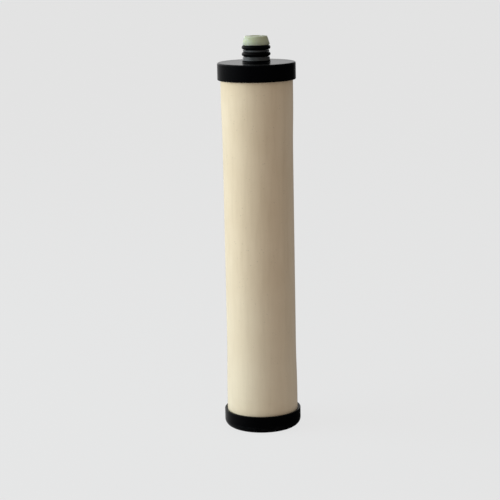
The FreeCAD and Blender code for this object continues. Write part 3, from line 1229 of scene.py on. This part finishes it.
@dataclass
class OutletNose:
    """Tapered nose with a base band, a rounded tip and a countersunk outlet."""

    base_height: float = 0.9 * MM
    taper_top: float = 7.15 * MM
    tip_rounding: float = 0.9 * MM
    outlet: float = 3.0 * MM
    countersink: float = 0.6 * MM
    stem_radius: float = 5.2 * MM
    cup_radius: float = 4.15 * MM
    painted_shade_reach: float = 2.6 * MM
    painted_shade: float = 0.6
    columns: int = 160

    def build(self, shop: Workshop) -> None:
        """Builds the nose from its half section, walked up its taper from inside its cup.

        Args:
            shop: Where the piece is fitted.
        """
        nose = extent("outlet_nose")
        seat = extent("top_cap").high
        small = 0.15 * MM
        profile = rounded_profile(
            (
                (self.outlet, seat, small),
                (self.cup_radius, seat),
                (self.cup_radius, nose.low, small),
                (self.stem_radius, nose.low, small),
                (self.stem_radius, seat),
                (nose.radius, seat, 0.3 * MM),
                (nose.radius, seat + self.base_height, 0.25 * MM),
                (self.taper_top, nose.high, self.tip_rounding),
                (self.outlet + self.countersink, nose.high, small),
                (self.outlet, nose.high - self.countersink, small),
            ),
            step=0.4 * MM,
            arc_steps=9,
        )
        piece = turned_piece("tapered_outlet_nose", profile, self.columns)
        # Painted shade: the outside turns darker towards its base, where it meets the cap, and gets a grease
        # coat there too.
        fading = np.clip(1 - (profile.height - seat) / self.painted_shade_reach, 0.0, 1.0)
        outside = profile.radius > self.stem_radius
        set_attribute(piece, "grease", self.painted_shade * np.repeat(fading * outside, self.columns))
        shop.fit(piece, "outlet_nose", Slot.NATURAL_PLASTIC)


@dataclass
class CheckValve:
    """Poppet, seal, spring and spring seat inside the spigot."""

    wire: float = 0.5 * MM
    coil_radius: float = 3.65 * MM
    open_coils: int = 5
    steps_per_turn: int = 48
    closed_pitch: float = 0.53 * MM
    end_gap: float = 0.05 * MM
    lift: float = 2.0 * MM

    def build_spring(self, shop: Workshop) -> None:
        """Builds the spring along a helix with one closed turn at each end, and gives it a mesh of its own.

        With n turns gone, the height is the bottom plus the closed pitch times the closed turns and the open
        pitch times the open ones.

        Args:
            shop: Where the piece is fitted.
        """
        seat = extent("spring_seat")
        spring = extent("valve_spring")
        bottom = spring.low + self.wire / 2
        top = seat.low - self.end_gap - self.wire / 2
        open_pitch = (top - bottom - 2 * self.closed_pitch) / self.open_coils
        steps = self.steps_per_turn * (self.open_coils + 2)
        turns = np.linspace(0.0, self.open_coils + 2.0, steps + 1)
        closed = np.minimum(turns, 1.0) + np.maximum(turns - 1.0 - self.open_coils, 0.0)
        height = bottom + closed * self.closed_pitch + (turns - closed) * open_pitch
        angle = 2 * math.pi * turns
        radius = self.coil_radius
        centre = np.stack([radius * np.cos(angle), radius * np.sin(angle), height], axis=1)
        piece = wire_piece("closed_end_valve_spring", centre, self.wire / 2)
        shop.fit(piece, "valve_spring", Slot.SPRING)
        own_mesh(piece)

    def build(self, shop: Workshop) -> None:
        """Builds the spring and dresses the other pieces.

        Args:
            shop: Where the pieces are fitted.
        """
        self.build_spring(shop)
        shop.keep("valve_poppet", Slot.ACETAL)
        shop.keep("valve_seal", Slot.SILICONE)
        shop.keep("spring_seat", Slot.ACETAL)


@dataclass
class CarbonStage:
    """Carbon core, its fleeces and gaskets, and the collecting tube."""

    slots: tuple[tuple[str, Slot], ...] = (
        ("outer_fleece", Slot.FLEECE),
        ("carbon_core", Slot.CARBON),
        ("inner_fleece", Slot.FLEECE),
        ("lower_core_gasket", Slot.GREY_RUBBER),
        ("upper_core_gasket", Slot.GREY_RUBBER),
        ("collecting_tube", Slot.WHITE_PLASTIC),
        ("tube_end_plug", Slot.WHITE_PLASTIC),
        ("fines_screen", Slot.STEEL_SHEET),
    )

    def build(self, shop: Workshop) -> None:
        """Dresses each piece."""
        for node, slot in self.slots:
            shop.keep(node, slot)


# ---------------------------------------------------------------- studio
@dataclass
class Studio:
    """Pale floor, soft light and the camera.

    The room gives matt surfaces an even, slightly warm light from the front. What glossy surfaces mirror is
    brightest behind the cartridge and to its left.
    """

    floor_size: float = 30.0
    floor_drop: float = 0.1 * MM  # keeps the floor and the foot in different planes
    floor_glow: float = 0.75
    floor_bounce: float = 0.46
    floor_colour: Colour = (0.05, 0.05, 0.05)
    bright_side: tuple[float, float, float] = (-0.85, 0.5, 0.1)
    dim_mirror: float = 0.02
    bright_mirror: float = 1.15
    floor_mirror_share: float = 0.4
    back_fill: float = 0.27
    front_fill: float = 0.50
    back_tint: Colour = (0.93, 1.0, 1.02)
    front_tint: Colour = (1.0, 0.94, 0.87)
    camera_place: tuple[float, float, float] = (0.0, -1.0315, 0.3270)
    pan: float = -0.0062
    tilt: float = 0.2006
    roll: float = -0.0200
    lens: float = 116.67
    sensor: float = 36.0
    view_range: tuple[float, float] = (0.01, 100.0)
    key_power: float = 20.5
    key_colour: Colour = (0.80, 0.98, 1.06)
    key_place: tuple[float, float, float] = (-1.05, -0.14, 0.30)
    key_size: float = 1.1
    key_aim: tuple[float, float, float] = (0.0, 0.0, 0.12)

    def build_camera(self) -> None:
        """Aims the camera by its pan p, its tilt t below the horizon and its roll about the line of sight.

        It looks along (sin p cos t, cos p cos t, -sin t).
        """
        data = bpy.data.cameras.new("camera")
        data.lens, data.sensor_width = self.lens, self.sensor
        data.clip_start, data.clip_end = self.view_range
        camera = bpy.data.objects.new("camera", data)
        bpy.context.scene.collection.objects.link(camera)
        bpy.context.scene.camera = camera
        level = math.cos(self.tilt)
        ahead = Vector((math.sin(self.pan) * level, math.cos(self.pan) * level, -math.sin(self.tilt)))
        right = Vector((math.cos(self.pan), -math.sin(self.pan), 0.0))
        level_up = right.cross(ahead)
        rolled_right = right * math.cos(self.roll) + level_up * math.sin(self.roll)
        rolled_up = level_up * math.cos(self.roll) - right * math.sin(self.roll)
        turn = Matrix((rolled_right, rolled_up, -ahead)).transposed()
        camera.matrix_world = Matrix.Translation(self.camera_place) @ turn.to_4x4()

    def mirrored(self, nodes: Nodes, direction: Socket) -> Socket:
        """Brightness that glossy surfaces see: it rises with a direction's share along the bright side.

        Args:
            nodes: The tree that it is worked out in.
            direction: The direction that is looked along.

        Returns:
            The brightness.
        """
        inputs = {0: direction, 1: self.bright_side}
        toward = nodes.add("ShaderNodeVectorMath", inputs, operation="DOT_PRODUCT")
        return nodes.ramp(toward.outputs["Value"], -0.2, 0.9, self.dim_mirror, self.bright_mirror)

    def build_floor(self) -> None:
        """Builds the floor: a matt grey that also glows evenly, as a sheet lit from all over does."""
        half, low = self.floor_size / 2, -self.floor_drop
        corners = np.array([(-half, -half, low), (half, -half, low), (half, half, low), (-half, half, low)])
        floor = mesh_object("studio_floor", corners, [[0, 1, 2, 3]])
        constants = {"Specular IOR Level": 0.0, "Roughness": 1.0, "Base Color": (*self.floor_colour, 1.0)}
        constants |= {"Emission Color": (1.0, 1.0, 1.0, 1.0)}
        start = start_material("pale_floor", constants)
        nodes = start.nodes
        ray = nodes.add("ShaderNodeLightPath").outputs
        outward = nodes.add("ShaderNodeVectorMath", {0: start.place}, operation="NORMALIZE").outputs["Vector"]
        share = nodes.times(ray["Is Glossy Ray"], self.floor_mirror_share)
        mirrored = nodes.times(self.mirrored(nodes, outward), share)
        bounced = nodes.ramp(ray["Is Diffuse Ray"], 0.0, 1.0, 0.0, self.floor_bounce)
        seen = nodes.ramp(ray["Is Camera Ray"], 0.0, 1.0, 0.0, self.floor_glow)
        start.link(nodes.maths("ADD", nodes.maths("ADD", mirrored, bounced), seen), "Emission Strength")
        floor.data.materials.append(start.material)

    def build_light(self) -> None:
        """Hangs the key light at the left, hidden from glossy surfaces, and lights the room behind it."""
        lamp = bpy.data.lights.new("key_light", "AREA")
        lamp.shape, lamp.size = "SQUARE", self.key_size
        lamp.energy, lamp.color = self.key_power, self.key_colour
        light = bpy.data.objects.new("key_light", lamp)
        light.visible_glossy = False
        bpy.context.scene.collection.objects.link(light)
        place = Vector(self.key_place)
        aim = (Vector(self.key_aim) - place).to_track_quat("-Z", "Y")
        light.matrix_world = Matrix.Translation(place) @ aim.to_matrix().to_4x4()
        world = bpy.data.worlds.new("studio")
        bpy.context.scene.world = world
        world.use_nodes = True
        world.node_tree.nodes.clear()
        nodes = Nodes(world.node_tree)
        direction = nodes.add("ShaderNodeTexCoord").outputs["Generated"]
        depth = nodes.add("ShaderNodeSeparateXYZ", {0: direction}).outputs["Y"]
        front = nodes.ramp(depth, 1.0, -1.0)
        fill = nodes.ramp(front, 0.0, 1.0, self.back_fill, self.front_fill)
        tint = nodes.mix(front, self.back_tint, self.front_tint)
        matt = nodes.add("ShaderNodeBackground", {"Color": tint, "Strength": fill}).outputs[0]
        white = (1.0, 1.0, 1.0, 1.0)
        shine = {"Color": white, "Strength": self.mirrored(nodes, direction)}
        glossy = nodes.add("ShaderNodeBackground", shine).outputs[0]
        seen = nodes.add("ShaderNodeBackground", {"Color": white, "Strength": self.floor_glow}).outputs[0]
        ray = nodes.add("ShaderNodeLightPath").outputs
        mixed = nodes.add("ShaderNodeMixShader", {0: ray["Is Glossy Ray"], 1: matt, 2: glossy}).outputs[0]
        mixed = nodes.add("ShaderNodeMixShader", {0: ray["Is Camera Ray"], 1: mixed, 2: seen}).outputs[0]
        nodes.add("ShaderNodeOutputWorld", {0: mixed})

    def build(self) -> None:
        """Builds the floor, the light and the camera."""
        self.build_floor()
        self.build_light()
        self.build_camera()
        bpy.context.scene.view_settings.view_transform = "Standard"


def main() -> None:
    """Builds the cartridge and the studio round it."""
    logging.basicConfig(level=logging.INFO, format="%(name)s: %(message)s")
    shop = Workshop(Finishes().build())
    assemblies = (BottomCap, TopCap, CeramicStage, OutletSeals, OutletNose, CheckValve, CarbonStage)
    for assembly in assemblies:
        assembly().build(shop)
    Studio().build()


if __name__ == "__main__":
    main()
